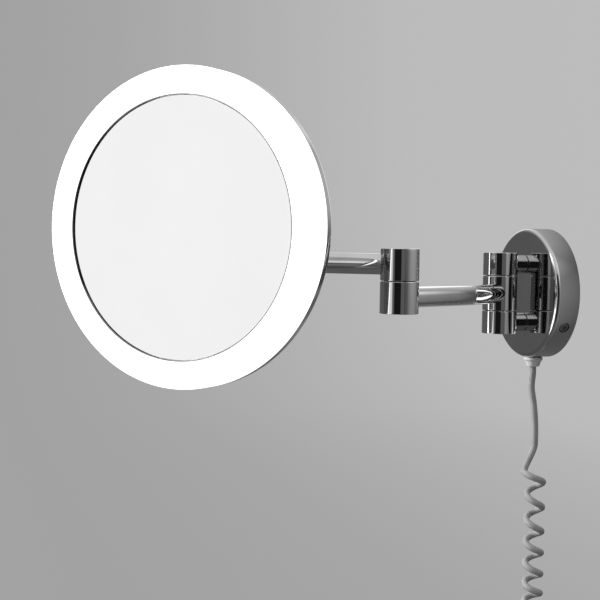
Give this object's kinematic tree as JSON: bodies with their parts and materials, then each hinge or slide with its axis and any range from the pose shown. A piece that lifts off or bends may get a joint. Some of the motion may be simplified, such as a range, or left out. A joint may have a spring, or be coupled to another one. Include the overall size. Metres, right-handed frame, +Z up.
{
  "type": "extendable shaving mirror",
  "caption": "Round lit shaving mirror on a two-part swinging wall arm, with a tilting head, a round wall plate and a curly supply cord with a plug.",
  "frame": {"origin": "centre of the wall plate's back face, which lies on the wall", "axes": "+Y into the wall, so the room is on the -Y side; +Z up; +X along the wall"},
  "size_m": [0.1592, 0.3375, 0.5533],
  "materials": {
    "chrome": "polished chrome plate",
    "steel": "plain zinc-plated steel",
    "nylon": "black nylon",
    "lead": "black two-core lead",
    "white_plastic": "moulded white",
    "gland_plastic": "milky nylon",
    "cord_plastic": "satin light grey sheath",
    "plug_plastic": "satin light grey moulding",
    "plug_metal": "nickel-plated brass",
    "board": "white solder mask",
    "carrier": "plain pressed sheet",
    "diffuser": "opal acrylic, lit from inside",
    "mirror": "silvered glass, hollow ground"
  },
  "bodies": {
    "wall_plate": {"wall_bracket": "steel", "plate_cover": "chrome", "cover_screw_right": "steel", "cover_screw_left": "steel", "hinge_post_upper": "chrome", "hinge_post_lower": "chrome", "post_nut_upper": "steel", "post_nut_lower": "steel", "led_driver": "white_plastic", "terminal_block": "white_plastic", "cord_gland": "gland_plastic", "gland_nut": "white_plastic", "supply_lead": "lead", "hinge_knuckle_top": "chrome", "hinge_knuckle_bottom": "chrome", "hinge_pin": "steel", "hinge_nut": "steel", "hinge_cap_bottom": "chrome", "hinge_cap_top": "chrome", "hinge_washer_lower": "nylon", "hinge_washer_upper": "nylon", "cord_upper": "cord_plastic", "cord_coil": "cord_plastic", "cord_tail": "cord_plastic", "plug_body": "plug_plastic", "plug_pin_right": "plug_metal", "plug_pin_left": "plug_metal"},
    "inner_arm": {"hinge_knuckle_middle": "chrome", "inner_arm_tube": "chrome", "inner_arm_lead": "lead", "elbow_knuckle_lower": "chrome", "elbow_pin": "steel", "elbow_cap_bottom": "chrome", "elbow_washer": "nylon"},
    "outer_arm": {"elbow_knuckle_upper": "chrome", "elbow_nut": "steel", "elbow_cap_top": "chrome", "outer_arm_tube": "chrome", "outer_arm_lead": "lead", "swivel_knuckle_lower": "chrome", "swivel_pin": "steel", "swivel_cap_bottom": "chrome", "swivel_washer": "nylon"},
    "swivel": {"swivel_knuckle_upper": "chrome", "swivel_nut": "steel", "swivel_cap_top": "chrome", "tilt_eye": "chrome"},
    "head": {"tilt_bracket": "chrome", "tilt_pin": "steel", "tilt_nut": "steel", "bracket_screw_upper": "steel", "bracket_screw_lower": "steel", "rear_cover": "chrome", "mirror_carrier": "carrier", "led_board": "board", "mirror_backing": "nylon", "mirror_glass": "mirror", "mirror_bezel": "chrome", "light_diffuser": "diffuser"}
  },
  "joints": [
    {"name": "wall_swing", "type": "hinge", "parent": "wall_plate", "child": "inner_arm", "pos_m": [0, -0.0365, 0], "axis": [0, 0, 1], "range_deg": [-48, 27]},
    {"name": "elbow_swing", "type": "hinge", "parent": "inner_arm", "child": "outer_arm", "pos_m": [0.06771, -0.14157, 0.0101], "axis": [0, 0, 1], "range_deg": [-27, 111]},
    {"name": "head_swivel", "type": "hinge", "parent": "outer_arm", "child": "swivel", "pos_m": [-0.0133, -0.23676, 0.0303], "axis": [0, 0, 1], "range_deg": [-172, 9]},
    {"name": "head_tilt", "type": "hinge", "parent": "swivel", "child": "head", "pos_m": [-0.00155, -0.24973, 0.0404], "axis": [0.7408, 0.6717, 0], "range_deg": [-18, 18]}
  ]
}
